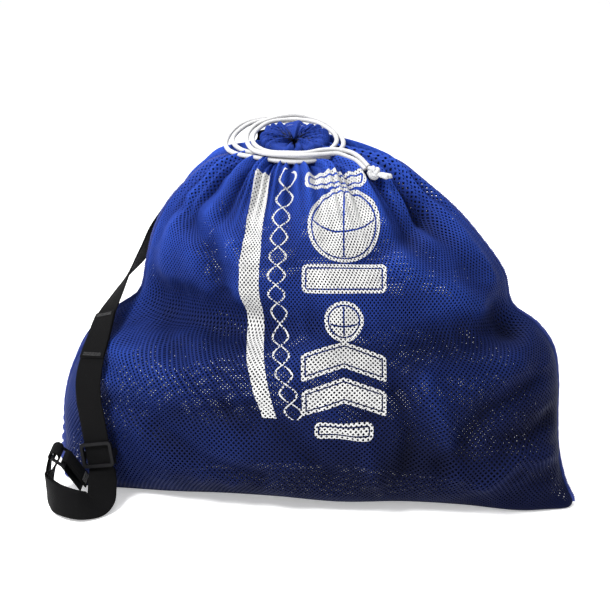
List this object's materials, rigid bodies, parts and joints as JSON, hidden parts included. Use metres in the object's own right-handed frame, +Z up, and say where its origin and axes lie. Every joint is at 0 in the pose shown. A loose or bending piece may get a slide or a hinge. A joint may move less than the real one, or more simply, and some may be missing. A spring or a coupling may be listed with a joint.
{
  "type": "mesh ball bag",
  "caption": "Loaded drawcord mesh sack with gathered mouth, knotted doubled cord and adjustable webbing shoulder strap.",
  "frame": {"origin": "middle of the base of the bag's bounding box, without its free cord ends", "axes": "+Z up, -Y the printed front, +X to the right of someone looking at the front"},
  "size_m": [0.5601, 0.2648, 0.3884],
  "materials": {
    "blue_netting": "matte",
    "seam_binding": "matte",
    "thread": "matte",
    "white_cord": "matte",
    "black_webbing": "matte",
    "black_plastic": "satin"
  },
  "bodies": {
    "sack": {"front_panel": "blue_netting", "back_panel": "blue_netting", "left_side_seam": "seam_binding", "right_side_seam": "seam_binding", "bottom_seam": "seam_binding", "hem_casing": "blue_netting", "hem_stitching": "thread", "casing_drawcord": "white_cord", "cord_end_left": "white_cord", "cord_end_right": "white_cord", "cord_knot": "white_cord", "cord_tips": "white_cord", "strap_anchor": "black_webbing", "anchor_stitching": "thread"},
    "strap": {"shoulder_strap": "black_webbing", "strap_splice": "black_webbing", "splice_stitching": "thread", "strap_return": "black_webbing", "ring_tab": "black_webbing", "tab_stitching": "thread"},
    "glide": {"tri_glide": "black_plastic", "strap_end_fold": "black_webbing", "fold_stitching": "thread"},
    "ring": {"corner_ring": "black_plastic"}
  },
  "joints": [
    {"name": "strap_swing", "type": "hinge", "parent": "sack", "child": "strap", "pos_m": [-0.238, -0.068, 0.014], "axis": [-0.4418, -0.3289, -0.8346], "range_deg": [0, 10]},
    {"name": "glide_slide", "type": "slide", "parent": "strap", "child": "glide", "axis": [-0.1658, 0.1934, 0.967], "range_m": [0, 0.048]},
    {"name": "ring_pivot", "type": "hinge", "parent": "strap", "child": "ring", "pos_m": [-0.25664, -0.068, 0.04198], "axis": [0, 1, 0], "range_deg": [-9, 9]}
  ]
}
